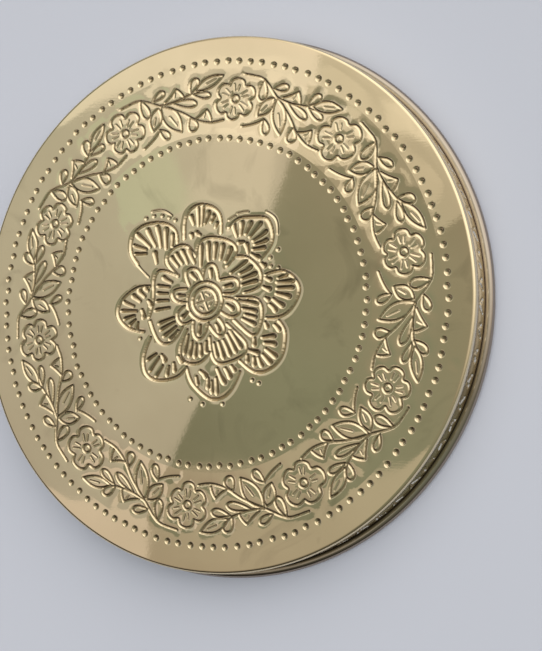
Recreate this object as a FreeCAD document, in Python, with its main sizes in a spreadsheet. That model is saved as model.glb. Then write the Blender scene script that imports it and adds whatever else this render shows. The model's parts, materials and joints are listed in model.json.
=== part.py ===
"""Chased brass dish tray: one spun sheet with a wired, rolled rim, lying upturned on that rim.

Frame: millimetres, +Z up. The origin is the centre of the ring that the rolled rim stands on.
The flat chased base faces up, and the hollow that carries things opens downwards.
"""

import FreeCAD, Part  # noqa: E401
import math
import os

import Sketcher

doc = FreeCAD.newDocument("BrassTray")

# Driving dimensions.
sheet = doc.addObject("Spreadsheet::Sheet", "Sizes")
SIZES = [
    ("base_radius", 150.0),  # outside of the wall, where the base turns down into it
    ("tray_depth", 26.0),  # from the surface that the rim stands on to the base's outer face
    ("sheet_thickness", 1.0),
    ("corner_radius", 2.0),  # outside of the bend between base and wall
    ("wire_radius", 1.85),
    ("wire_clearance", 0.05),  # between the wire and the roll around it
    ("seam_angle", 128.0),  # where the rolled edge ends, in degrees up from straight outwards
]
for row, (alias, value) in enumerate(SIZES, start=1):
    sheet.set(f"A{row}", alias)
    sheet.set(f"B{row}", str(value))
    sheet.setAlias(f"B{row}", alias)
doc.recompute()


def plane(body, role):
    """One of the body's own origin planes."""
    return next(f for f in body.Origin.OriginFeatures if f.Role == role)


def size(alias):
    return sheet.get(alias)


def wall_profile(sketch):
    """The sheet's section, drawn from the axis out over the base, down the wall and round the wire."""
    turn_x = size("base_radius") - size("corner_radius")
    turn_y = size("tray_depth") - size("corner_radius")
    bore = size("wire_radius") + size("wire_clearance")
    roll = bore + size("sheet_thickness")
    roll_x = size("base_radius") + bore
    inside_x = size("base_radius") - size("sheet_thickness")
    inside_y = size("tray_depth") - size("sheet_thickness")
    top = FreeCAD.Vector(0, size("tray_depth"), 0)
    turn = FreeCAD.Vector(turn_x, turn_y, 0)
    middle = FreeCAD.Vector(roll_x, roll, 0)
    up = FreeCAD.Vector(0, 0, 1)
    seam = math.radians(size("seam_angle"))
    edge = FreeCAD.Vector(math.cos(seam), math.sin(seam), 0)

    def line(start, end):
        return sketch.addGeometry(Part.LineSegment(start, end), False)

    def arc(centre, radius, start, end):
        return sketch.addGeometry(Part.ArcOfCircle(Part.Circle(centre, up, radius), start, end), False)

    def point(x, y):
        return FreeCAD.Vector(x, y, 0)

    axis = line(point(0, inside_y), top)
    outer_base = line(top, point(turn_x, size("tray_depth")))
    outer_corner = arc(turn, size("corner_radius"), 0, math.pi / 2)
    outer_wall = line(point(size("base_radius"), turn_y), point(size("base_radius"), roll))
    inner_roll = arc(middle, bore, -math.pi, seam)
    sheet_edge = line(middle + edge * bore, middle + edge * roll)
    outer_roll = arc(middle, roll, -math.pi, seam)
    inner_wall = line(point(inside_x, roll), point(inside_x, turn_y))
    inner_corner = arc(turn, size("corner_radius") - size("sheet_thickness"), 0, math.pi / 2)
    inner_base = line(point(turn_x, inside_y), point(0, inside_y))

    START, END, CENTRE = 1, 2, 3
    ORIGIN, HORIZONTAL_AXIS, VERTICAL_AXIS = -1, -1, -2
    join = [
        (axis, END, outer_base, START),
        (inner_roll, END, sheet_edge, START),
        (sheet_edge, END, outer_roll, END),
        (inner_base, END, axis, START),
        (outer_corner, CENTRE, inner_corner, CENTRE),
        (inner_roll, CENTRE, outer_roll, CENTRE),
    ]
    for first, first_end, second, second_end in join:
        sketch.addConstraint(Sketcher.Constraint("Coincident", first, first_end, second, second_end))
    for level in (outer_base, inner_base):
        sketch.addConstraint(Sketcher.Constraint("Horizontal", level))
    for upright in (axis, outer_wall, inner_wall):
        sketch.addConstraint(Sketcher.Constraint("Vertical", upright))
    smooth_join = [
        (outer_base, END, outer_corner, END),
        (outer_corner, START, outer_wall, START),
        (outer_wall, END, inner_roll, START),
        (outer_roll, START, inner_wall, START),
        (inner_wall, END, inner_corner, START),
        (inner_corner, END, inner_base, START),
    ]
    for first, first_end, second, second_end in smooth_join:
        sketch.addConstraint(Sketcher.Constraint("Tangent", first, first_end, second, second_end))
    sketch.addConstraint(Sketcher.Constraint("Tangent", outer_roll, HORIZONTAL_AXIS))
    sketch.addConstraint(Sketcher.Constraint("PointOnObject", inner_roll, CENTRE, sheet_edge))

    sketch.addConstraint(Sketcher.Constraint("PointOnObject", axis, END, VERTICAL_AXIS))

    def drive(kind, name, expression, *geometry):
        index = sketch.addConstraint(Sketcher.Constraint(kind, *geometry))
        sketch.renameConstraint(index, name)
        sketch.setExpression(f"Constraints.{name}", expression)

    drive("DistanceY", "depth", "Sizes.tray_depth * 1 mm", ORIGIN, START, axis, END, size("tray_depth"))
    drive("DistanceX", "base_reach", "Sizes.base_radius * 1 mm", ORIGIN, START, outer_wall, START,
          size("base_radius"))
    drive("DistanceY", "thickness", "Sizes.sheet_thickness * 1 mm", axis, START, axis, END,
          size("sheet_thickness"))
    drive("Radius", "corner", "Sizes.corner_radius * 1 mm", outer_corner, size("corner_radius"))
    drive("Radius", "roll_bore", "(Sizes.wire_radius + Sizes.wire_clearance) * 1 mm", inner_roll, bore)
    drive("Angle", "seam", "Sizes.seam_angle * 1 deg", sheet_edge, seam)


def make_tray_sheet():
    """The base, wall and rolled edge: one piece of sheet, turned about the tray's axis."""
    body = doc.addObject("PartDesign::Body", "TraySheet")
    body.Label = "tray_sheet"
    sketch = body.newObject("Sketcher::SketchObject", "WallProfile")
    sketch.AttachmentSupport = (plane(body, "XZ_Plane"), "")
    sketch.MapMode = "FlatFace"
    wall_profile(sketch)
    doc.recompute()
    turned = body.newObject("PartDesign::Revolution", "TurnedSheet")
    turned.Profile = sketch
    turned.ReferenceAxis = (sketch, ["V_Axis"])
    turned.Angle = 360
    body.Tip = turned
    return body


def make_rim_wire():
    """The stiffening wire that the sheet's edge is rolled around."""
    wire = doc.addObject("Part::Torus", "RimWire")
    wire.Label = "rim_wire"
    wire.setExpression("Radius1", "(Sizes.base_radius + Sizes.wire_radius + Sizes.wire_clearance) * 1 mm")
    wire.setExpression("Radius2", "Sizes.wire_radius * 1 mm")
    wire.setExpression(
        "Placement.Base.z",
        "(Sizes.wire_radius + Sizes.wire_clearance + Sizes.sheet_thickness) * 1 mm",
    )
    return wire


pieces = [make_tray_sheet(), make_rim_wire()]
doc.recompute()

for item in doc.Objects:
    if "Invalid" in item.State or "Error" in item.State:
        raise RuntimeError(f"{item.Label} did not compute: {item.State}")
for piece in pieces:
    if piece.Shape.isNull() or not piece.Shape.isValid() or len(piece.Shape.Solids) != 1:
        raise RuntimeError(f"{piece.Label} is not one valid solid")

os.makedirs("parts", exist_ok=True)
for piece in pieces:
    piece.Shape.exportStep(f"parts/{piece.Label}.step")
    box = piece.Shape.optimalBoundingBox(False, False)
    print(f"{piece.Label}: {box.XLength:.1f} x {box.YLength:.1f} x {box.ZLength:.1f} mm, "
          f"{piece.Shape.Volume / 1000:.2f} cm3, lowest {box.ZMin:.2f}")
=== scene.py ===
import json
import math
import random

import bpy
from mathutils import Matrix, Vector, kdtree


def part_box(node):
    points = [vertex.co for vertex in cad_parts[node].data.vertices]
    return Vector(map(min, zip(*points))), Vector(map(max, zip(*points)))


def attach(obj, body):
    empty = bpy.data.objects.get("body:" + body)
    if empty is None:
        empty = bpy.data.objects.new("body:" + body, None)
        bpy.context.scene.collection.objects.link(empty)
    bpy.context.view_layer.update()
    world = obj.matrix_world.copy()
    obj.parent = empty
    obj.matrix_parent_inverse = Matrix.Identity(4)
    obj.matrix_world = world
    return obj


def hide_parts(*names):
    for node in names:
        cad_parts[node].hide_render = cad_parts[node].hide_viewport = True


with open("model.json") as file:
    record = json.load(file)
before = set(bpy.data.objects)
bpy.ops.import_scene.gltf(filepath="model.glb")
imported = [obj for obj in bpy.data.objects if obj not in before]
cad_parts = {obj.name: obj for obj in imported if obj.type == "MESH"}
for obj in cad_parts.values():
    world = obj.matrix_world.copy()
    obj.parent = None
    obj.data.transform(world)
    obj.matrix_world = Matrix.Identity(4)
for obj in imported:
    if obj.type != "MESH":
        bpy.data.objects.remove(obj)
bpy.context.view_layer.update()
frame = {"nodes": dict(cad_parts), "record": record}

# ---------------------------------------------------------------- sizes, in metres, read from the frame
MM = 0.001
sheet_low, sheet_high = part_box("tray_sheet")
wire_low, wire_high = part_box("rim_wire")
mounts = {mount["name"]: mount for mount in frame["record"]["mounts"]}
BASE_TOP = mounts["base_face"]["pos_m"][2]
SHEET = BASE_TOP - mounts["inside_floor"]["pos_m"][2]
ROLL_RADIUS = (wire_low[2] + wire_high[2]) / 2
RIM_RADIUS = min(sheet_high[0], sheet_high[1], -sheet_low[0], -sheet_low[1])
ROLL_PLACE = RIM_RADIUS - ROLL_RADIUS
WALL_RADIUS = ROLL_PLACE - ROLL_RADIUS + SHEET
CORNER_RADIUS = 2 * MM
SEAM_ANGLE = math.radians(128)

# The decoration, laid out on the base from the tray's axis outwards.
FIELD_EDGE = 82 * MM  # the base is modelled as a disc and three rings that meet at these radii
VINE_INNER = 95 * MM
VINE_OUTER = 132.4 * MM
INNER_DOTS_RADIUS = 91.6 * MM
BORDER_RADIUS = 113.9 * MM
OUTER_DOTS_RADIUS = 135.3 * MM
INNER_DOTS = 90
OUTER_DOTS = 120
BASE_EDGE = WALL_RADIUS - CORNER_RADIUS
SEGMENTS = 400

# The punches: how far each reaches to either side of its line, and how deep it goes.
TRACER = (0.85 * MM, 0.58 * MM)
LINER = (0.65 * MM, 0.42 * MM)
ROUNDER = (1.0 * MM, 0.8 * MM)
FLUTER = (1.15 * MM, 1.0 * MM)
DOT_PUNCH = (1.75 * MM, 0.55 * MM)
PRICK = (1.6 * MM, 0.7 * MM)
UNDER_FLUTES = (3.4 * MM, 0.6 * MM)  # how far and how deep the back gives way below the flutes
UNDER_OUTLINES = (2.6 * MM, 0.5 * MM)

WAVES = (  # size in metres, height, and whether only the struck ground has them
    (0.075, 0.5 * MM, False),
    (0.028, 0.09 * MM, False),
    (0.006, 0.22 * MM, True),
)
FIELD_CELLS = 300  # squares across the middle of the base, outside and inside the tray
FIELD_BACK_CELLS = 88
FIELD_REACH = 66 * MM
WALL_LEAVES = 150

chance = random.Random(7)


# ---------------------------------------------------------------- drawing by hand
def deselect_all():
    bpy.ops.object.select_all(action="DESELECT")


def pick(thing):
    deselect_all()
    thing.select_set(True)
    bpy.context.view_layer.objects.active = thing


def name_it(name):
    thing = bpy.context.object
    thing.name = name
    thing.data.name = name
    return thing


def turned_piece(name, profile, steps):
    """A closed shell turned about the tray's axis from a section given as (radius, height) points."""
    deselect_all()
    bpy.ops.mesh.primitive_plane_add(size=MM, enter_editmode=True, location=(0, 0, 0))
    piece = name_it(name)
    bpy.ops.mesh.select_mode(type="VERT")
    bpy.ops.mesh.merge(type="CENTER")
    points = [Vector((radius, 0, height)) for radius, height in profile]
    bpy.ops.transform.translate(value=points[0])
    for here, there in zip(points, points[1:]):
        bpy.ops.mesh.extrude_vertices_move(TRANSFORM_OT_translate={"value": there - here})
    bpy.ops.mesh.select_all(action="SELECT")
    bpy.ops.mesh.spin(steps=steps, angle=math.tau, center=(0, 0, 0), axis=(0, 0, 1))
    bpy.ops.mesh.select_all(action="SELECT")
    bpy.ops.mesh.remove_doubles(threshold=0.01 * MM)
    bpy.ops.mesh.normals_make_consistent(inside=False)
    bpy.ops.object.mode_set(mode="OBJECT")
    return piece


def straight(start, end, steps):
    """Points from start up to but not at end."""
    first, last = Vector(start), Vector(end)
    return [tuple(first.lerp(last, i / steps)) for i in range(steps)]


def around(centre, radius, first, last, steps):
    """Points on an arc from the first angle up to but not at the last."""
    angles = [first + (last - first) * i / steps for i in range(steps)]
    return [(centre[0] + radius * math.cos(a), centre[1] + radius * math.sin(a)) for a in angles]


# ---------------------------------------------------------------- chased lines
def line_work(name, lines):
    """One mesh of edges from many smooth lines, each a list of (x, y) points on the base."""
    curve = bpy.data.curves.new(name, "CURVE")
    curve.dimensions = "3D"
    curve.resolution_u = 6
    for points in lines:
        spline = curve.splines.new("NURBS")
        spline.points.add(len(points) - 1)
        for knot, place in zip(spline.points, points):
            x, y, *height = place
            knot.co = (x, y, height[0] if height else BASE_TOP, 1)
        spline.order_u = min(3, len(points))
        spline.use_endpoint_u = True
    drawn = bpy.data.objects.new(name, curve)
    bpy.context.collection.objects.link(drawn)
    pick(drawn)
    bpy.ops.object.convert(target="MESH")
    return bpy.context.object


def wedge_work(name, wedges):
    """One mesh of thin teardrops, each given by its narrow end, its wide end and the wide end's width."""
    corners, faces = [], []
    for start, end, width in wedges:
        tail, head = Vector(start), Vector(end)
        axis = head - tail
        side = Vector((-axis.y, axis.x)).normalized() * width / 2
        bend = side * chance.uniform(-0.5, 0.5)
        first = len(corners)
        for along, out in ((0, 0.15), (0.5, 0.45), (0.85, 0.95), (0.96, 0.7), (1, 0), (0.96, -0.7),
                           (0.85, -0.95), (0.5, -0.45), (0, -0.15)):
            place = tail + axis * along + side * out + bend * 4 * along * (1 - along)
            corners.append((place.x, place.y, BASE_TOP))
        faces.append(range(first, first + 9))
    mesh = bpy.data.meshes.new(name)
    mesh.from_pydata(corners, [], faces)
    drawn = bpy.data.objects.new(name, mesh)
    bpy.context.collection.objects.link(drawn)
    return drawn


def dot_work(name, places):
    """One mesh of loose points, one for each dot."""
    mesh = bpy.data.meshes.new(name)
    mesh.from_pydata([(x, y, BASE_TOP) for x, y in places], [], [])
    drawn = bpy.data.objects.new(name, mesh)
    bpy.context.collection.objects.link(drawn)
    return drawn


def group_of(piece, name, wanted):
    """A vertex group holding the vertices that the test accepts."""
    group = piece.vertex_groups.new(name=name)
    group.add([v.index for v in piece.data.vertices if wanted(v.co)], 1.0, "REPLACE")
    return group


def chase(piece, drawn, reach, depth, wanted, geometry="EDGE", edge="SMOOTH", direction="Z"):
    """Sinks the piece along the drawn lines or dots."""
    pick(piece)
    group = group_of(piece, "struck", wanted)
    near = piece.modifiers.new("near", "VERTEX_WEIGHT_PROXIMITY")
    near.vertex_group = group.name
    near.target = drawn
    near.proximity_mode = "GEOMETRY"
    near.proximity_geometry = {geometry}
    near.min_dist = reach
    near.max_dist = 0
    near.falloff_type = edge
    sink = piece.modifiers.new("sink", "DISPLACE")
    sink.vertex_group = group.name
    sink.direction = direction
    sink.mid_level = 0
    sink.strength = -depth
    bpy.ops.object.modifier_apply(modifier=near.name)
    bpy.ops.object.modifier_apply(modifier=sink.name)
    piece.vertex_groups.remove(piece.vertex_groups["struck"])


def refine(piece, marks, wanted, passes=2):
    """Halves the faces that lie near the marks, and halves them again nearer. marks: (drawn, reach) pairs."""
    trees = []
    for drawn, reach in marks:
        tree = kdtree.KDTree(len(drawn.data.vertices))
        for vertex in drawn.data.vertices:
            tree.insert(vertex.co, vertex.index)
        tree.balance()
        trees.append((tree, reach))
    pick(piece)
    for _ in range(passes):
        bpy.ops.object.mode_set(mode="EDIT")
        bpy.ops.mesh.select_mode(type="FACE")
        bpy.ops.mesh.select_all(action="DESELECT")
        bpy.ops.object.mode_set(mode="OBJECT")
        for face in piece.data.polygons:
            margin = math.sqrt(face.area) * 0.72
            face.select = len(face.vertices) == 4 and wanted(face.center) and any(
                tree.find(face.center)[2] < reach + margin for tree, reach in trees)
        bpy.ops.object.mode_set(mode="EDIT")
        bpy.ops.mesh.subdivide(number_cuts=1)
        bpy.ops.object.mode_set(mode="OBJECT")


# ---------------------------------------------------------------- the border: flowers on a running vine
FLOWER_ANGLES = [84, 49.5, 12.5, -24, -59, -95, -131.8, -168.7, -204.3, -239.4]
PETAL_COUNTS = [6, 5, 6, 6, 5, 6, 5, 6, 6, 6]


def on_border(angle, along, out):
    """A place given in mm clockwise along the border from an angle in degrees, and mm outwards."""
    radius = BORDER_RADIUS + out * MM
    turn = math.radians(angle) - along * MM / BORDER_RADIUS
    return radius * math.cos(turn), radius * math.sin(turn)


def lobed_outline(petals, reach, notch, start, steps=6):
    """The outline of a flower as (along, out) points, deepest between its petals."""
    points = []
    for petal in range(petals):
        width = chance.uniform(0.94, 1.07)
        for step in range(steps):
            share = step / steps
            radius = notch + (reach * width - notch) * math.sin(math.pi * share) ** 0.45
            turn = start + math.tau * (petal + share) / petals
            points.append((radius * math.cos(turn), radius * math.sin(turn)))
    return points + [points[0]]


def flower(angle, petals):
    """Outline, centre ring and the short strokes in each petal."""
    start = chance.uniform(0, math.tau)
    outline = lobed_outline(petals, 12.4, 8.6, start)
    ring = [(2.4 * math.cos(math.tau * i / 8), 2.4 * math.sin(math.tau * i / 8)) for i in range(9)]
    strokes = []
    for petal in range(petals):
        middle = start + math.tau * (petal + 0.5) / petals
        for side in (-1, 1):
            lean = middle + side * 0.19
            inner = chance.uniform(4.4, 5.2)
            outer = chance.uniform(8.0, 9.0)
            strokes.append([(inner * math.cos(lean), inner * math.sin(lean)),
                            (outer * math.cos(lean), outer * math.sin(lean))])
    return [[on_border(angle, *p) for p in line] for line in (outline, ring)], \
           [[on_border(angle, *p) for p in line] for line in strokes]


def leaf_outline(base, tip, width, swell=0.5):
    """Two edges that leave the base, swell and meet at the tip."""
    foot, point = Vector(base), Vector(tip)
    axis = point - foot
    side = Vector((-axis.y, axis.x)).normalized() * width / 2
    near = foot + axis * (swell - 0.28)
    far = foot + axis * (swell + 0.22)
    return [[tuple(foot), tuple(near + side * sign), tuple(far + side * sign * 1.1), tuple(point)]
            for sign in (-1, 1)]


def bud_outline(base, tip, width):
    """One loop with a rounded end."""
    foot, point = Vector(base), Vector(tip)
    axis = point - foot
    side = Vector((-axis.y, axis.x)).normalized() * width / 2
    loop = [foot, foot + axis * 0.35 + side * 0.9, foot + axis * 0.8 + side * 1.15, point + side * 0.35,
            point - side * 0.35, foot + axis * 0.8 - side * 1.15, foot + axis * 0.35 - side * 0.9, foot]
    return [[tuple(p) for p in loop]]


def thorn_outline(left, tip, right):
    """A leaf that grows from the stem with a wide foot."""
    a, b, c = Vector(left), Vector(tip), Vector(right)
    return [[left, tuple(a.lerp(b, 0.5) + Vector((0.5, -0.6))), tip],
            [tip, tuple(b.lerp(c, 0.5) + Vector((0.9, 0.5))), right]]


# One repeat of the vine, in mm along and out from the flower at its left.
STEMS = [
    [(3.9, 14.4), (9.0, 13.9), (14.6, 13.4), (19.5, 9.6), (25.2, 4.5), (31.5, 0.4), (39.0, -4.4),
     (45.0, -9.4), (52.0, -12.2), (59.0, -13.2), (65.4, -11.8)],
    [(25.2, 4.5), (30.6, 3.4), (38.0, 3.6), (45.4, 5.6)],
    [(21.4, -9.4), (16.5, -13.2), (7.7, -15.0)],
]
LEAVES = [  # base, tip, width, and whether it has a mid-rib
    ((26.0, 3.6), (36.4, -14.6), 8.4, True),
    ((24.4, 3.4), (17.2, -7.8), 6.6, True),
    ((47.6, 6.6), (63.0, 13.6), 6.0, True),
]
BUDS = [  # base, tip, width
    ((15.6, 12.6), (17.0, 0.9), 4.6),
    ((22.4, 8.4), (30.0, 11.6), 3.8),
    ((33.2, 3.2), (47.6, -1.4), 4.0),
    ((44.8, 5.6), (49.0, 13.6), 4.4),
    ((46.0, 4.8), (56.4, 2.6), 3.8),
    ((21.4, -9.0), (26.6, -16.4), 4.4),
    ((42.6, -8.4), (45.4, -16.2), 5.6),
]
THORNS = [  # left foot, tip, right foot
    ((29.0, 5.0), (36.8, 10.8), (40.6, 4.4)),
    ((46.4, -9.6), (54.2, -5.0), (57.0, -11.4)),
]


def shaken(point, by=0.45):
    return point[0] + chance.uniform(-by, by), point[1] + chance.uniform(-by, by)


def vine(angle, span):
    """One repeat, stretched to the arc between its two flowers. Returns main lines and fine lines."""
    stretch = span / 36
    main, fine = [list(stem) for stem in STEMS], []
    for base, tip, width, ribbed in LEAVES:
        tip = shaken(tip)
        main += leaf_outline(base, tip, width * chance.uniform(0.92, 1.08))
        if ribbed:
            foot, point = Vector(base), Vector(tip)
            fine.append([tuple(foot.lerp(point, 0.42)), tuple(foot.lerp(point, 0.76))])
    for base, tip, width in BUDS:
        main += bud_outline(base, shaken(tip), width * chance.uniform(0.9, 1.1))
    for left, tip, right in THORNS:
        tip = shaken(tip)
        main += thorn_outline(left, tip, right)
        heart = Vector(left).lerp(Vector(right), 0.5)
        fine.append([tuple(heart.lerp(Vector(tip), 0.2)), tuple(heart.lerp(Vector(tip), 0.6))])
    return [[on_border(angle, along * stretch, out) for along, out in line] for line in main], \
           [[on_border(angle, along * stretch, out) for along, out in line] for line in fine]


def border_lines():
    main, fine = [], []
    for i, (angle, petals) in enumerate(zip(FLOWER_ANGLES, PETAL_COUNTS)):
        following = FLOWER_ANGLES[i + 1] if i + 1 < len(FLOWER_ANGLES) else FLOWER_ANGLES[0] - 360
        for some_main, some_fine in (flower(angle, petals), vine(angle, angle - following)):
            main += some_main
            fine += some_fine
    return main, fine


def dot_ring(radius, count):
    """Punched dots, evenly spaced by eye."""
    places = []
    for i in range(count):
        turn = math.tau * (i + chance.uniform(-0.07, 0.07)) / count
        out = radius + chance.gauss(0, 0.25) * MM
        places.append((out * math.cos(turn), out * math.sin(turn)))
    return places


# ---------------------------------------------------------------- the rosette, in mm from the tray's axis
BOSS_PLACE = (-3.0, 0.0)
OUTER_PETALS = [
    [(-46.5, 22), (-50.4, 26), (-51.6, 32.5), (-50.4, 39), (-45.6, 43.2), (-39.5, 45), (-32, 45.4),
     (-25.5, 43.2), (-21.5, 39), (-21.3, 33.5)],
    [(-16.8, 35.5), (-17.4, 43), (-16, 50), (-11, 54.4), (-4, 54.6), (2.6, 51.8), (6.2, 46), (6, 38)],
    [(10.5, 41), (14, 45.6), (21, 46.4), (28, 46.2), (33.5, 45.8), (36.4, 40.5), (37.6, 33.5),
     (34.8, 27.5), (30, 22.5)],
    [(33.4, 14.2), (38, 16), (44.5, 16.4), (50.5, 12.6), (54.2, 6.4), (52, -0.5), (47.6, -6.6),
     (41, -9.8), (34.6, -9.4)],
    [(42, -11), (45.8, -15), (46.2, -22), (44.8, -30), (40, -36.2), (32.5, -39.8), (25.5, -38.2),
     (19.6, -33)],
    [(-12.5, -38), (-11, -44), (-4.5, -50.5), (3, -55.2), (10.5, -53.8), (16.5, -47.5), (19.6, -39)],
    [(-36.5, -20.5), (-39.8, -27), (-40.8, -35), (-38.6, -42), (-32, -45), (-23.5, -44.4),
     (-16.5, -41.6), (-13, -37)],
    [(-38, 8.8), (-44, 9), (-50.4, 6.2), (-57, 0.5), (-59, -6.5), (-55.6, -12.4), (-48.6, -16.6),
     (-41, -17.2)],
]
MIDDLE_PETALS = [
    [(-20, 14.2), (-25, 18.6), (-28.4, 24), (-25.6, 29.4), (-19.5, 32.2), (-13.5, 31.2), (-10, 26)],
    [(-9.6, 25), (-8.5, 33), (-3.5, 36), (4, 35.6), (11.5, 33.6), (16, 29.5), (15, 24.5), (10, 19.5)],
    [(15.5, 24.8), (21, 25), (26.5, 21.2), (30.5, 16.5), (31.4, 11), (28.6, 6), (21, 4.6)],
    [(16.2, 2), (23, 2), (29.6, 1.2), (32.4, -4.5), (31.8, -12), (29, -19.2), (24.5, -18.8), (15.5, -10.6)],
    [(11, -12.6), (18, -18.4), (23.8, -23.5), (22.8, -29.4), (17, -32.4), (9.5, -35), (4.6, -34.2),
     (1.6, -28), (0.8, -20)],
    [(1, -28.5), (-3, -34), (-9.5, -35.6), (-15.5, -34), (-18, -28.5), (-16, -21), (-13.5, -16)],
    [(-37, -11), (-34.6, -17.5), (-30.6, -23.6), (-25, -24.4), (-20, -20.6), (-16.5, -14.5)],
    [(-20, 14.6), (-27, 17.4), (-33.6, 18), (-36, 12), (-35.2, 4), (-36, -3), (-38, -9)],
]
INNER_PETALS = [
    [(-12.8, 9), (-16.6, 15.6), (-12.4, 19.2), (-7, 17.6), (-5, 12.8)],
    [(-4.6, 12.4), (-4.8, 17.8), (-0.6, 21.6), (4, 19.4), (5, 12.2)],
    [(6, 11.8), (11.5, 13.2), (17.2, 12), (17.8, 6.8), (14, 3.6), (8.6, 4)],
    [(9, 1.8), (14, 1.6), (18.6, -2.6), (18.6, -7.6), (12.6, -9.6), (7.2, -6)],
    [(6, -9.6), (10.4, -14), (8.6, -20), (4.4, -18.8), (0.6, -13.8)],
    [(-0.4, -12.4), (-2, -18.6), (-6.4, -22.2), (-10.2, -17.4), (-9.4, -11.4)],
    [(-11, -11), (-15.4, -13.8), (-19.8, -10.6), (-20.2, -5.4), (-15.4, -2.6)],
    [(-14.6, -0.6), (-20, -0.8), (-24, 3.2), (-22, 7.4), (-14.4, 7)],
]
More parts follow.
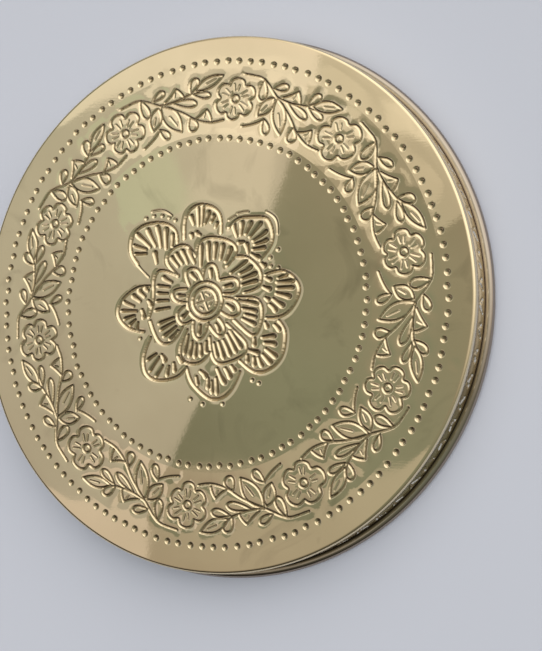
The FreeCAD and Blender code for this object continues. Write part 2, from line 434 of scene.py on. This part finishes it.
FLUTES = [  # wide end, narrow end, width at the wide end: outer petals first, then the middle and inner ones
    (-47.6, 39, -38.5, 31.3, 1.5), (-40.6, 41.8, -35, 31.8, 1.6), (-34.4, 43.2, -31.6, 31.2, 1.5),
    (-28.4, 42, -28.2, 30.2, 1.6), (-24.2, 38.5, -24.6, 31.4, 0.9), (-49.4, 32.6, -41, 30, 0.5),
    (-48.4, 27.6, -41, 27.6, 0.5), (-35.4, 28.6, -34, 22, 1.6),
    (-13, 48.6, -11.2, 43.6, 1.3), (-8.8, 52.8, -8.2, 42.8, 0.9), (-6, 53.6, -6.2, 43, 0.9),
    (-1.8, 50.4, -4.4, 43.6, 1.2), (1.2, 48.4, -0.4, 44.4, 1.3), (3.4, 44, 2.4, 41.4, 0.9),
    (-12.4, 38.2, -12, 36, 1.4), (-9.6, 39, -6.8, 37.2, 1.2),
    (13.6, 42.6, 15.6, 36, 1.2), (18.6, 44, 18, 36.6, 1.4), (24.2, 43.6, 21, 37, 1.2),
    (30.2, 43, 23.4, 35.4, 1.3), (33.6, 38.4, 25.6, 33.2, 1.1), (34.2, 33.6, 26.6, 31.2, 1.1),
    (33, 29.2, 25.6, 28.4, 1.3), (29.4, 23.8, 24.8, 25.8, 1.7), (33.4, 19, 30.8, 20.6, 1.8),
    (21.4, 32, 22.8, 26.6, 1.6), (16.6, 32.4, 20, 32.6, 1.2),
    (46, 14, 41, 12.2, 1.2), (50.2, 10.6, 40.4, 10.2, 1.4), (50.2, 7, 40.6, 6.8, 1.1),
    (48.6, 2, 40.2, 4, 1.6), (44.8, -3, 38.4, 1, 1.7), (40.4, -5.8, 36.6, -2, 1.5),
    (36.8, 6.2, 32.4, 7.6, 1.5), (37, 11.4, 33.4, 12.6, 1.0), (36, 0.6, 33.8, 1.6, 1.2),
    (42.8, -16.2, 39.6, -13, 1.1), (40.2, -19.4, 32.6, -20, 1.3), (40.8, -23.8, 34, -23, 1.4),
    (41.4, -30.6, 35, -26.4, 1.7), (38.4, -34, 33.2, -29.4, 1.7), (33.2, -35.8, 30.6, -31, 1.2),
    (28.4, -35.6, 28, -31, 1.2), (24.2, -33.6, 24.2, -30, 1.1), (31, -28.6, 24.6, -27, 1.6),
    (28, -24.6, 28, -20.8, 1.1), (35.6, -14.6, 34, -11.8, 1.2),
    (-0.4, -42.4, -4.2, -39, 1.8), (0.8, -48.6, 0.6, -43, 1.2), (3.4, -51, 3, -44.6, 1.0),
    (6.4, -51.6, 5.6, -42.6, 1.0), (11.2, -45.6, 6, -37.4, 1.7), (14.6, -42.4, 11, -37.2, 1.7),
    (17, -38.6, 14.6, -35.8, 1.2), (-5.4, -46.6, -6.6, -42.2, 1.0),
    (-36.2, -39.6, -30.6, -31.6, 0.7), (-32.2, -42.4, -28.2, -36.4, 0.7), (-25, -42, -24.2, -36.8, 0.9),
    (-20.2, -39.6, -21, -34.8, 1.2), (-26.6, -34, -29, -30.2, 1.9), (-15.6, -34, -18.4, -30.8, 1.7),
    (-38, -33.4, -32.6, -29.8, 0.6),
    (-45.2, 6.8, -41, 2.8, 1.7), (-49, 3.8, -43.8, 0.2, 1.6), (-41, 8, -39, 6.2, 1.3),
    (-54.6, 0, -48, -2.6, 0.6), (-56, -5.2, -46, -5.4, 0.6), (-54, -10, -47.4, -8, 0.7),
    (-50.4, -13.4, -46.8, -10.4, 0.8), (-45.6, -15.6, -45, -12, 0.9), (-41.2, -9.4, -42.6, -4.6, 1.9),
    (-36.6, -2.4, -38.6, 0.6, 1.8),
    (-14, 29.4, -10, 21.6, 1.5), (-18.2, 29, -14.4, 21.6, 1.2), (-21.8, 27.4, -17.6, 21.4, 1.2),
    (-24.8, 25.4, -20.2, 19.8, 1.3),
    (-6, 32, -6, 19.8, 1.3), (-1.6, 33, -1.2, 23, 1.4), (3, 32.4, 2.2, 23.8, 1.4),
    (7.4, 31.8, 6, 23.4, 1.4), (12.4, 29.8, 9.2, 22, 1.6),
    (22, 22.2, 12.6, 15.6, 0.9), (25, 19, 18, 15.2, 1.4), (28, 15.2, 19.4, 12.2, 1.4),
    (28.6, 11, 19.6, 8.8, 1.2),
    (29.4, -1.8, 17.8, 0.2, 1.4), (29, -6, 20.4, -4.2, 1.3), (28.8, -9.2, 22, -7.6, 1.0),
    (28.4, -13, 20.6, -9.8, 1.4),
    (20.4, -26, 13.2, -16.4, 1.5), (17.4, -28.4, 11.4, -18.4, 1.4), (13.8, -30.2, 9.2, -21.6, 1.4),
    (10, -31.8, 6.2, -22.6, 1.4), (6, -31, 3.6, -23.4, 1.2),
    (-14.6, -29.6, -12.6, -19, 1.2), (-11.4, -31, -10, -22.4, 1.1), (-7.8, -31.4, -7.4, -24, 1.1),
    (-4.2, -30.6, -4.6, -24.2, 1.2), (-1, -28.6, -1.2, -22.6, 1.2),
    (-31.4, -12.6, -22, -9.2, 0.9), (-30.2, -16.2, -21.6, -11.6, 0.9), (-28.2, -19.8, -20.4, -14.2, 1.0),
    (-24.4, -21.4, -19.4, -16.4, 1.0),
    (-29.6, 14, -24, 10.8, 1.3), (-33, 9, -25.4, 8.2, 0.6), (-33, 4.8, -26.4, 4.6, 0.6),
    (-33.4, 0.2, -25.8, 0.6, 0.6), (-34, -5, -25, -3.6, 0.6),
    (-12, 15.8, -8.6, 12.4, 1.2), (0.2, 18, 0.6, 13.4, 1.2), (13.8, 8.8, 8.8, 8, 1.3),
    (14.8, -4.6, 10.8, -2, 1.4), (6.6, -17, 4.6, -12.8, 1.3), (-5.8, -18.8, -5.2, -13.6, 1.3),
    (-17, -9.2, -13.6, -6.2, 1.3), (-20, 3.4, -15.6, 3.2, 1.0),
]


def in_place(points):
    return [(x * MM, y * MM) for x, y in points]


def on_boss(angle, out):
    """A place given in degrees and mm from the middle of the boss."""
    turn = math.radians(angle)
    return (BOSS_PLACE[0] + out * math.cos(turn)) * MM, (BOSS_PLACE[1] + out * math.sin(turn)) * MM


def rosette_marks():
    """Bold outlines, flutes and fine lines of the rosette."""
    bold = [in_place(line) for line in OUTER_PETALS + MIDDLE_PETALS + INNER_PETALS]
    for radius in (11.0, 7.6):
        bold.append([on_boss(i * 22.5, radius) for i in range(17)])
    flutes = [(in_place([(x, y)])[0], in_place([(wide_x, wide_y)])[0], width * MM)
              for wide_x, wide_y, x, y, width in FLUTES]
    fine = [[on_boss(turn, 5.2), on_boss(turn + 180, 5.2)] for turn in (-66, 18)]
    for quarter in range(4):
        fine.append([on_boss(66 + 90 * quarter - 13, 4.2), on_boss(66 + 90 * quarter + 13, 4.4)])
    return bold, flutes, fine


def stray_dots():
    """A short row over the upper left petal and odd slips of the punch about the rosette."""
    return in_place([(-41.6, 47.8), (-36.6, 49), (-31.2, 48.9), (-26.8, 47.8), (-22.8, 46.2),
                     (40.6, 28), (36.2, 23.6), (36.6, 18.8), (41, 18), (-43, -21),
                     (-9.6, -54.6), (-2.2, -57.2), (10, -56.8), (31.4, -45), (27.4, -43.4)])


def stray_marks():
    """Short strokes that follow the outer petals, and one on the margin."""
    return [in_place(line) for line in (
        [(15.6, 48.4), (18.6, 49.3), (22.4, 49.2)],
        [(10.6, 45), (12.6, 46.4), (14.6, 47.2)],
        [(-46.6, 21.4), (-43, 17.4), (-38.8, 14)],
        [(33.4, 48.8), (37.6, 46.8), (40.2, 42), (40.2, 36.6)],
        [(-38, 51.6), (-33, 52.6), (-28, 51.2), (-25.2, 48.8)],
        [(141.5, -33), (136, -34)],
    )]


# ---------------------------------------------------------------- the pieces
def on_front(place):
    return place[2] > BASE_TOP - SHEET / 2


def on_back(place):
    return place[2] < BASE_TOP - SHEET / 2


def waves(piece, struck_ground):
    """The unevenness of hand-beaten sheet, downwards only, with more of it where the ground was struck."""
    pick(piece)
    for size, height, ground in WAVES:
        clouds = bpy.data.textures.new("beaten", "CLOUDS")
        clouds.noise_scale = size
        clouds.noise_depth = 0
        group = piece.vertex_groups.new(name="beaten")
        for vertex in piece.data.vertices:
            if ground:
                fade = struck_ground(vertex.co)
            else:
                fade = (BASE_EDGE - 3 * MM - math.hypot(vertex.co.x, vertex.co.y)) / (14 * MM)
            group.add([vertex.index], min(max(fade, 0), 1), "REPLACE")
        beaten = piece.modifiers.new("beaten", "DISPLACE")
        beaten.texture = clouds
        beaten.texture_coords = "LOCAL"
        beaten.vertex_group = group.name
        beaten.direction = "Z"
        beaten.mid_level = 1
        beaten.strength = height
        bpy.ops.object.modifier_apply(modifier=beaten.name)
        piece.vertex_groups.remove(piece.vertex_groups["beaten"])


def rosette_ground(place):
    out = math.hypot(place.x / MM - BOSS_PLACE[0], place.y / MM - BOSS_PLACE[1])
    return (54 - out) / 12 if place.z > BASE_TOP - SHEET / 2 - MM / 4 else 0


def border_ground(place):
    radius = math.hypot(place.x, place.y)
    return min(radius - VINE_INNER, VINE_OUTER - radius) / (8 * MM)


def plain_ground(place):
    return 0


def places_of(piece):
    return [vertex.co.copy() for vertex in piece.data.vertices]


def note_depth(piece, before, share):
    """Keeps how deep each point was struck, in shares of a mm, for the colour of the lines."""
    depth = piece.data.attributes.new("struck", "FLOAT", "POINT")
    for vertex, old, cell in zip(piece.data.vertices, before, depth.data):
        cell.value = (vertex.co - old).length / MM * share


def finish_piece(piece, material):
    pick(piece)
    bpy.ops.object.shade_smooth_by_angle(angle=math.radians(75))
    piece.data.materials.clear()
    piece.data.materials.append(material)
    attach(piece, "root")
    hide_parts("tray_sheet")


def ring_profile(inner, outer, front_steps, back_steps):
    front = straight((inner, BASE_TOP), (outer, BASE_TOP), front_steps)
    back = straight((outer, BASE_TOP - SHEET), (inner, BASE_TOP - SHEET), back_steps)
    return [(inner, BASE_TOP - SHEET)] + front + [(outer, BASE_TOP)] + back + [(inner, BASE_TOP - SHEET)]


def make_vine_ring(tools, material):
    """The band of flowers on a running vine."""
    ring = turned_piece("vine_border", ring_profile(VINE_INNER, VINE_OUTER, 22, 9), SEGMENTS)
    main, fine = tools["border_main"], tools["border_fine"]
    refine(ring, [(main, TRACER[0]), (fine, LINER[0])], on_front)
    before = places_of(ring)
    chase(ring, main, *TRACER, on_front)
    chase(ring, fine, *LINER, on_front)
    note_depth(ring, before, 1.6)
    chase(ring, main, 3.5 * MM, 0.14 * MM, on_front)
    chase(ring, main, TRACER[0] * 1.9, TRACER[1] * 0.5, on_back)
    waves(ring, border_ground)
    finish_piece(ring, material)
    return ring


def make_dot_ring(name, inner, outer, dots, strays, material):
    """A band of the base with a row of punched dots."""
    ring = turned_piece(name, ring_profile(inner, outer, 8, 5), SEGMENTS)
    refine(ring, [(dots, DOT_PUNCH[0])], on_front, passes=3)
    before = places_of(ring)
    chase(ring, dots, *DOT_PUNCH, on_front, geometry="VERTEX", edge="ICON_SPHERECURVE")
    chase(ring, strays, *LINER, on_front)
    note_depth(ring, before, 1.3)
    chase(ring, dots, DOT_PUNCH[0] * 1.3, DOT_PUNCH[1] * 0.6, on_back, geometry="VERTEX")
    waves(ring, plain_ground)
    finish_piece(ring, material)
    return ring


def disc_sheet(name, height, cells):
    """A fine square mesh in the middle, filled out to a circle at the field's edge."""
    deselect_all()
    bpy.ops.mesh.primitive_grid_add(x_subdivisions=cells, y_subdivisions=cells, size=2 * FIELD_REACH,
                                    location=(0, 0, 0))
    disc = name_it(name)
    bpy.ops.object.mode_set(mode="EDIT")
    bpy.ops.mesh.select_mode(type="FACE")
    bpy.ops.mesh.select_all(action="DESELECT")
    bpy.ops.object.mode_set(mode="OBJECT")
    for face in disc.data.polygons:
        face.select = math.hypot(face.center.x, face.center.y) > FIELD_REACH
    bpy.ops.object.mode_set(mode="EDIT")
    bpy.ops.mesh.delete(type="FACE")
    bpy.ops.mesh.select_mode(type="EDGE")
    bpy.ops.mesh.primitive_circle_add(vertices=SEGMENTS, radius=FIELD_EDGE, fill_type="NOTHING",
                                      location=(0, 0, 0))
    bpy.ops.mesh.select_all(action="DESELECT")
    bpy.ops.mesh.select_non_manifold(extend=False, use_wire=True, use_boundary=True, use_multi_face=False,
                                     use_non_contiguous=False, use_verts=False)
    bpy.ops.mesh.fill(use_beauty=True)
    bpy.ops.mesh.select_all(action="SELECT")
    bpy.ops.transform.translate(value=(0, 0, height))
    bpy.ops.mesh.normals_make_consistent(inside=False)
    bpy.ops.object.mode_set(mode="OBJECT")
    return disc


def make_field(tools, material):
    """The plain middle of the base with the rosette at its centre."""
    front = disc_sheet("rosette_field", BASE_TOP, FIELD_CELLS)
    back = disc_sheet("field_back", BASE_TOP - SHEET, FIELD_BACK_CELLS)
    deselect_all()
    back.select_set(True)
    front.select_set(True)
    bpy.context.view_layer.objects.active = front
    bpy.ops.object.join()
    disc = bpy.context.object
    bpy.ops.object.mode_set(mode="EDIT")
    bpy.ops.mesh.select_mode(type="EDGE")
    bpy.ops.mesh.select_all(action="DESELECT")
    bpy.ops.mesh.select_non_manifold(extend=False, use_wire=False, use_boundary=True, use_multi_face=False,
                                     use_non_contiguous=False, use_verts=False)
    bpy.ops.mesh.bridge_edge_loops()
    bpy.ops.mesh.select_all(action="SELECT")
    bpy.ops.mesh.normals_make_consistent(inside=False)
    bpy.ops.object.mode_set(mode="OBJECT")
    bold, flutes, fine = tools["rosette_bold"], tools["rosette_flutes"], tools["rosette_fine"]
    # The back gives way under the flutes first, while the two sides can still be told apart by height.
    chase(disc, flutes, *UNDER_FLUTES, on_back, geometry="FACE")
    before = places_of(disc)
    chase(disc, bold, *ROUNDER, on_front)
    chase(disc, flutes, *FLUTER, on_front, geometry="FACE")
    chase(disc, fine, *TRACER, on_front)
    chase(disc, tools["stray_dots"], *PRICK, on_front, geometry="VERTEX")
    chase(disc, tools["stray"], *TRACER, on_front)
    note_depth(disc, before, 0.9)
    chase(disc, bold, 3 * MM, 0.2 * MM, on_front)
    # The bottoms of the deepest outlines lie below mid-sheet by now, so this sinks them with the back.
    chase(disc, bold, *UNDER_OUTLINES, on_back)
    waves(disc, rosette_ground)
    finish_piece(disc, material)
    return disc


def wall_marks():
    """A running row of small chased leaves about the wall, as one mesh of faces that lie on it."""
    corners, faces = [], []
    for i in range(WALL_LEAVES):
        turn = math.tau * (i + chance.uniform(-0.2, 0.2)) / WALL_LEAVES
        lean = chance.uniform(0.008, 0.03) * (1 if i % 2 else -1)
        foot = chance.uniform(9, 11.5) * MM
        head = chance.uniform(15.5, 19.5) * MM
        width = chance.uniform(0.004, 0.0085)
        first = len(corners)
        for share, out in ((0, 0.2), (0.4, 1), (0.75, 0.8), (1, 0.1), (1, -0.1), (0.75, -0.8), (0.4, -1),
                           (0, -0.2)):
            place = turn + lean * share + width * out
            corners.append((WALL_RADIUS * math.cos(place), WALL_RADIUS * math.sin(place),
                            foot + (head - foot) * share))
        faces.append(range(first, first + 8))
    mesh = bpy.data.meshes.new("wall_marks")
    mesh.from_pydata(corners, [], faces)
    drawn = bpy.data.objects.new("wall_marks", mesh)
    bpy.context.collection.objects.link(drawn)
    return drawn


def make_wall(material):
    """The corner, the wall and the edge rolled round the wire."""
    corner = (BASE_EDGE, BASE_TOP - CORNER_RADIUS)
    roll = (ROLL_PLACE, ROLL_RADIUS)
    bore = ROLL_RADIUS - SHEET
    inside = WALL_RADIUS - SHEET
    profile = around(corner, CORNER_RADIUS, math.pi / 2, 0, 10)
    profile += straight((WALL_RADIUS, corner[1]), (WALL_RADIUS, ROLL_RADIUS), 10)
    profile += around(roll, bore, math.pi, math.tau + SEAM_ANGLE, 18)
    profile += around(roll, bore, SEAM_ANGLE, SEAM_ANGLE + 0.01, 1)
    profile += around(roll, ROLL_RADIUS, math.tau + SEAM_ANGLE, math.pi, 26)
    profile += straight((inside, ROLL_RADIUS), (inside, corner[1]), 5)
    profile += around(corner, CORNER_RADIUS - SHEET, 0, math.pi / 2, 8)
    profile += [(corner[0], BASE_TOP - SHEET), (corner[0], BASE_TOP)]
    wall = turned_piece("wall_and_roll", profile, SEGMENTS)
    marks = wall_marks()

    def outside(place):
        return math.hypot(place[0], place[1]) > WALL_RADIUS - SHEET / 2 and place[2] > ROLL_RADIUS + 2 * MM

    refine(wall, [(marks, 2 * TRACER[0])], outside)
    before = places_of(wall)
    chase(wall, marks, *TRACER, outside, geometry="FACE", direction="NORMAL")
    # The depth kept here gives the wall's chased leaves their pale painted highlight in the wall's material.
    note_depth(wall, before, 1.6)
    bpy.data.objects.remove(marks)
    finish_piece(wall, material)
    return wall


# ---------------------------------------------------------------- materials
def new_material(name):
    material = bpy.data.materials.new(name)
    material.use_nodes = True
    nodes = material.node_tree.nodes
    nodes.clear()
    output = nodes.new("ShaderNodeOutputMaterial")
    shader = nodes.new("ShaderNodeBsdfPrincipled")
    material.node_tree.links.new(shader.outputs["BSDF"], output.inputs["Surface"])
    return material, nodes, material.node_tree.links, shader


def brass(name, dull, bright, struck_colour, smooth, worn, edge=None):
    """Polished brass: patches of two tones, the struck colour in the struck lines (brown on the base, a pale
    painted highlight on the wall), with smears and fine scratches.
    """
    material, nodes, links, shader = new_material(name)
    shader.inputs["Metallic"].default_value = 1.0
    place = nodes.new("ShaderNodeTexCoord")

    tarnish = nodes.new("ShaderNodeTexNoise")
    tarnish.inputs["Scale"].default_value = 14
    tarnish.inputs["Detail"].default_value = 5
    links.new(place.outputs["Object"], tarnish.inputs["Vector"])
    tone = nodes.new("ShaderNodeValToRGB")
    tone.color_ramp.elements[0].position = 0.3
    tone.color_ramp.elements[0].color = (*dull, 1)
    tone.color_ramp.elements[1].position = 0.68
    tone.color_ramp.elements[1].color = (*bright, 1)
    links.new(tarnish.outputs["Fac"], tone.inputs["Fac"])

    # The struck lines take the struck colour, most at their deepest: brown on the base, and on the wall a
    # pale painted highlight that stands in for light glinting off the chased leaves.
    struck = nodes.new("ShaderNodeAttribute")
    struck.attribute_name = "struck"
    struck_tone_and_painted_highlight = nodes.new("ShaderNodeMapRange")
    struck_tone_and_painted_highlight.inputs["From Min"].default_value = 0.25
    struck_tone_and_painted_highlight.inputs["From Max"].default_value = 0.95
    links.new(struck.outputs["Fac"], struck_tone_and_painted_highlight.inputs["Value"])
    mix = nodes.new("ShaderNodeMix")
    mix.data_type = "RGBA"
    mix.inputs["B"].default_value = (*struck_colour, 1)
    links.new(struck_tone_and_painted_highlight.outputs["Result"], mix.inputs["Factor"])
    links.new(tone.outputs["Color"], mix.inputs["A"])

    stains = nodes.new("ShaderNodeTexNoise")
    stains.inputs["Scale"].default_value = 21
    stains.inputs["Detail"].default_value = 6
    stains.inputs["Distortion"].default_value = 1.6
    links.new(place.outputs["Object"], stains.inputs["Vector"])
    sparse = nodes.new("ShaderNodeMapRange")
    sparse.inputs["From Min"].default_value = 0.6
    sparse.inputs["From Max"].default_value = 0.78
    sparse.inputs["To Max"].default_value = 0.55
    links.new(stains.outputs["Fac"], sparse.inputs["Value"])
    stained = nodes.new("ShaderNodeMix")
    stained.data_type = "RGBA"
    stained.inputs["B"].default_value = (*[0.62 * part for part in dull], 1)
    links.new(sparse.outputs["Result"], stained.inputs["Factor"])
    links.new(mix.outputs["Result"], stained.inputs["A"])

    # Darker and browner towards the bottom, from 6.8 mm down to 5.2 mm and below.
    height = nodes.new("ShaderNodeSeparateXYZ")
    links.new(place.outputs["Object"], height.inputs["Vector"])
    towards_bottom = nodes.new("ShaderNodeMapRange")
    towards_bottom.inputs["From Min"].default_value = 0.0068
    towards_bottom.inputs["From Max"].default_value = 0.0052
    towards_bottom.inputs["To Max"].default_value = 0.92
    links.new(height.outputs["Z"], towards_bottom.inputs["Value"])
    darker_below = nodes.new("ShaderNodeMix")
    darker_below.data_type = "RGBA"
    darker_below.inputs["B"].default_value = (0.29, 0.24, 0.205, 1)
    links.new(towards_bottom.outputs["Result"], darker_below.inputs["Factor"])
    links.new(stained.outputs["Result"], darker_below.inputs["A"])
    links.new(darker_below.outputs["Result"], shader.inputs["Base Color"])
    if edge:
        rubbed = nodes.new("ShaderNodeMapRange")
        rubbed.inputs["From Min"].default_value = 0.0215
        rubbed.inputs["From Max"].default_value = 0.0245
        links.new(height.outputs["Z"], rubbed.inputs["Value"])
        bared = nodes.new("ShaderNodeMix")
        bared.data_type = "RGBA"
        bared.inputs["B"].default_value = (*edge, 1)
        links.new(rubbed.outputs["Result"], bared.inputs["Factor"])
        links.new(darker_below.outputs["Result"], bared.inputs["A"])
        links.new(bared.outputs["Result"], shader.inputs["Base Color"])

    smears = nodes.new("ShaderNodeTexNoise")
    smears.inputs["Scale"].default_value = 30
    smears.inputs["Detail"].default_value = 7
    smears.inputs["Distortion"].default_value = 1.2
    links.new(place.outputs["Object"], smears.inputs["Vector"])
    gloss = nodes.new("ShaderNodeMapRange")
    gloss.inputs["From Min"].default_value = 0.35
    gloss.inputs["From Max"].default_value = 0.8
    gloss.inputs["To Min"].default_value = smooth
    gloss.inputs["To Max"].default_value = worn
    links.new(smears.outputs["Fac"], gloss.inputs["Value"])
    links.new(gloss.outputs["Result"], shader.inputs["Roughness"])

    grain = nodes.new("ShaderNodeTexNoise")
    grain.inputs["Scale"].default_value = 700
    grain.inputs["Detail"].default_value = 3
    links.new(place.outputs["Object"], grain.inputs["Vector"])
    bump = nodes.new("ShaderNodeBump")
    bump.inputs["Strength"].default_value = 0.012
    bump.inputs["Distance"].default_value = 0.0003
    links.new(grain.outputs["Fac"], bump.inputs["Height"])

    stretch = nodes.new("ShaderNodeMapping")
    stretch.inputs["Rotation"].default_value = (0, 0, 0.6)
    stretch.inputs["Scale"].default_value = (9, 420, 60)
    links.new(place.outputs["Object"], stretch.inputs["Vector"])
    wipes = nodes.new("ShaderNodeTexNoise")
    wipes.inputs["Scale"].default_value = 2
    wipes.inputs["Detail"].default_value = 2
    links.new(stretch.outputs["Vector"], wipes.inputs["Vector"])
    scratches = nodes.new("ShaderNodeBump")
    scratches.inputs["Strength"].default_value = 0.008
    scratches.inputs["Distance"].default_value = 0.0004
    links.new(wipes.outputs["Fac"], scratches.inputs["Height"])
    links.new(bump.outputs["Normal"], scratches.inputs["Normal"])
    links.new(scratches.outputs["Normal"], shader.inputs["Normal"])
    return material


def iron():
    material, nodes, links, shader = new_material("iron_wire")
    shader.inputs["Metallic"].default_value = 1.0
    place = nodes.new("ShaderNodeTexCoord")
    scale = nodes.new("ShaderNodeTexNoise")
    scale.inputs["Scale"].default_value = 260
    links.new(place.outputs["Object"], scale.inputs["Vector"])
    tone = nodes.new("ShaderNodeValToRGB")
    tone.color_ramp.elements[0].color = (0.24, 0.23, 0.22, 1)
    tone.color_ramp.elements[1].color = (0.46, 0.45, 0.44, 1)
    links.new(scale.outputs["Fac"], tone.inputs["Fac"])
    links.new(tone.outputs["Color"], shader.inputs["Base Color"])
    shader.inputs["Roughness"].default_value = 0.5
    return material


def floor_paint():
    material, nodes, links, shader = new_material("pale_floor")
    place = nodes.new("ShaderNodeTexCoord")
    mottle = nodes.new("ShaderNodeTexNoise")
    mottle.inputs["Scale"].default_value = 3
    links.new(place.outputs["Object"], mottle.inputs["Vector"])
    tone = nodes.new("ShaderNodeValToRGB")
    tone.color_ramp.elements[0].color = (0.555, 0.576, 0.662, 1)
    tone.color_ramp.elements[1].color = (0.608, 0.629, 0.716, 1)
    links.new(mottle.outputs["Fac"], tone.inputs["Fac"])
    links.new(tone.outputs["Color"], shader.inputs["Base Color"])
    shader.inputs["Roughness"].default_value = 0.85
    return material


# ---------------------------------------------------------------- studio
def area_light(name, place, aim, width, height, watts, colour):
    data = bpy.data.lights.new(name, "AREA")
    data.shape = "RECTANGLE"
    data.size = width
    data.size_y = height
    data.energy = watts
    data.color = colour
    lamp = bpy.data.objects.new(name, data)
    lamp.location = place
    lamp.rotation_euler = (Vector(aim) - Vector(place)).to_track_quat("-Z", "Y").to_euler()
    bpy.context.collection.objects.link(lamp)
    return lamp


def panel(name, middle, size, turn, glow, colour):
    """A panel hung level over the tray, turned by some degrees about its middle, glowing evenly."""
    data = bpy.data.lights.new(name, "AREA")
    data.shape = "RECTANGLE"
    data.size, data.size_y = size
    data.energy = glow * math.pi * size[0] * size[1]
    data.color = colour
    lamp = bpy.data.objects.new(name, data)
    lamp.location = middle
    lamp.rotation_euler.z = math.radians(turn)
    bpy.context.collection.objects.link(lamp)
    return lamp


def make_studio():
    deselect_all()
    bpy.ops.mesh.primitive_plane_add(size=8, location=(0, 0, 0))
    floor = name_it("floor")
    floor.data.materials.append(floor_paint())

    world = bpy.data.worlds.new("studio")
    bpy.context.scene.world = world
    world.use_nodes = True
    nodes = world.node_tree.nodes
    links = world.node_tree.links
    direction = nodes.new("ShaderNodeTexCoord")
    towards = nodes.new("ShaderNodeVectorMath")
    towards.operation = "DOT_PRODUCT"
    towards.inputs[1].default_value = Vector((0.5, 0.7, 0.5)).normalized()
    links.new(direction.outputs["Generated"], towards.inputs[0])
    span = nodes.new("ShaderNodeMapRange")
    span.inputs["From Min"].default_value = -1
    span.inputs["From Max"].default_value = 1
    links.new(towards.outputs["Value"], span.inputs["Value"])
    room = nodes.new("ShaderNodeValToRGB")
    stops = [(0.3, (0.05, 0.045, 0.035)), (0.52, (0.2, 0.2, 0.16)), (0.65, (0.28, 0.31, 0.25)),
             (0.74, (0.36, 0.34, 0.28)), (0.84, (0.9, 0.85, 0.76)), (0.93, (1.65, 1.6, 1.5))]
    for position, colour in stops[2:]:
        room.color_ramp.elements.new(position)
    for stop, (position, colour) in zip(room.color_ramp.elements, stops):
        stop.position = position
        stop.color = (*colour, 1)
    links.new(span.outputs["Result"], room.inputs["Fac"])
    split = nodes.new("ShaderNodeSeparateXYZ")
    links.new(direction.outputs["Generated"], split.inputs["Vector"])
    lift = nodes.new("ShaderNodeMapRange")
    lift.interpolation_type = "SMOOTHSTEP"
    lift.inputs["From Min"].default_value = 0.02
    lift.inputs["From Max"].default_value = 0.28
    links.new(split.outputs["Z"], lift.inputs["Value"])
    mix = nodes.new("ShaderNodeMix")
    mix.data_type = "RGBA"
    mix.inputs["A"].default_value = (0.6, 0.61, 0.65, 1)
    links.new(lift.outputs["Result"], mix.inputs["Factor"])
    links.new(room.outputs["Color"], mix.inputs["B"])
    links.new(mix.outputs["Result"], nodes["Background"].inputs["Color"])

    panel("left_panel", (-0.74, 0.1, 1.03), (0.56, 1.3), -19, 0.3, (1.0, 0.93, 1.0))
    panel("field_panel", (-0.465, 0.3, 1.035), (0.13, 0.24), -8, 0.1, (1.0, 0.95, 0.9))
    panel("top_panel", (-0.4, 0.7, 1.04), (0.95, 0.7), -6, 0.34, (1.0, 0.96, 0.92))
    panel("right_panel", (-0.1, 0.32, 1.045), (0.24, 0.2), 20, 0.24, (1.0, 0.95, 0.9))
    panel("vine_panel", (-0.25, 0.305, 1.025), (0.24, 0.075), -42, 0.12, (1.0, 0.9, 0.85))
    panel("low_panel", (-0.45, -0.457, 1.05), (0.8, 0.59), 8, 0.24, (1.0, 0.8, 0.76))
    panel("green_patch", (-0.59, 0.27, 1.02), (0.11, 0.13), 20, 0.08, (0.3, 1.0, 0.45))
    fill = area_light("floor_fill", (0.2, -0.3, 2.2), (0, 0, 0), 2.4, 2.4, 19, (0.88, 0.94, 1.0))
    fill.visible_glossy = False
    bpy.context.scene.view_settings.view_transform = "Standard"


def make_camera():
    data = bpy.data.cameras.new("camera")
    data.lens = 62.8
    data.sensor_width = 36
    camera = bpy.data.objects.new("camera", data)
    place = Vector((0.2765, -0.0533, 0.5924))
    aim = Vector((0.0378, -0.0137, BASE_TOP))
    up = Vector((0, 0.9976, 0.0698))
    back = (place - aim).normalized()
    right = up.cross(back).normalized()
    facing = Matrix((right, back.cross(right), back)).transposed()
    camera.matrix_world = Matrix.Translation(place) @ facing.to_4x4()
    bpy.context.collection.objects.link(camera)
    bpy.context.scene.camera = camera


# ---------------------------------------------------------------- making
border_main, border_fine = border_lines()
rosette_bold, rosette_flutes, rosette_fine = rosette_marks()
TOOLS = {
    "border_main": line_work("border_main", border_main),
    "border_fine": line_work("border_fine", border_fine),
    "inner_dots": dot_work("inner_dots", dot_ring(INNER_DOTS_RADIUS, INNER_DOTS)),
    "outer_dots": dot_work("outer_dots", dot_ring(OUTER_DOTS_RADIUS, OUTER_DOTS)),
    "rosette_bold": line_work("rosette_bold", rosette_bold),
    "rosette_flutes": wedge_work("rosette_flutes", rosette_flutes),
    "rosette_fine": line_work("rosette_fine", rosette_fine),
    "stray_dots": dot_work("stray_dots", stray_dots()),
    "stray": line_work("stray", stray_marks()),
}
BRASS = brass("polished_brass", (0.74, 0.62, 0.41), (0.83, 0.70, 0.47), (0.27, 0.20, 0.11), 0.03, 0.08)
# The wall's struck colour is a pale near-white: a painted highlight on the chased leaves, standing in for
# light glinting off them.
WALL_BRASS = brass("wall_brass", (0.66, 0.60, 0.47), (0.77, 0.70, 0.54), (0.92, 0.89, 0.82), 0.08, 0.16,
                   (0.74, 0.62, 0.41))
made = [
    make_field(TOOLS, BRASS),
    make_dot_ring("inner_dot_ring", FIELD_EDGE, VINE_INNER, TOOLS["inner_dots"], TOOLS["stray"], BRASS),
    make_vine_ring(TOOLS, BRASS),
    make_dot_ring("outer_dot_ring", VINE_OUTER, BASE_EDGE, TOOLS["outer_dots"], TOOLS["stray"], BRASS),
    make_wall(WALL_BRASS),
]
for drawn in TOOLS.values():
    bpy.data.objects.remove(drawn)

wire = frame["nodes"]["rim_wire"]
wire.data.materials.clear()
wire.data.materials.append(iron())

make_studio()
make_camera()

for piece in made:
    corners = sum(len(face.vertices) - 2 for face in piece.data.polygons)
    print(piece.name, "triangles", corners)
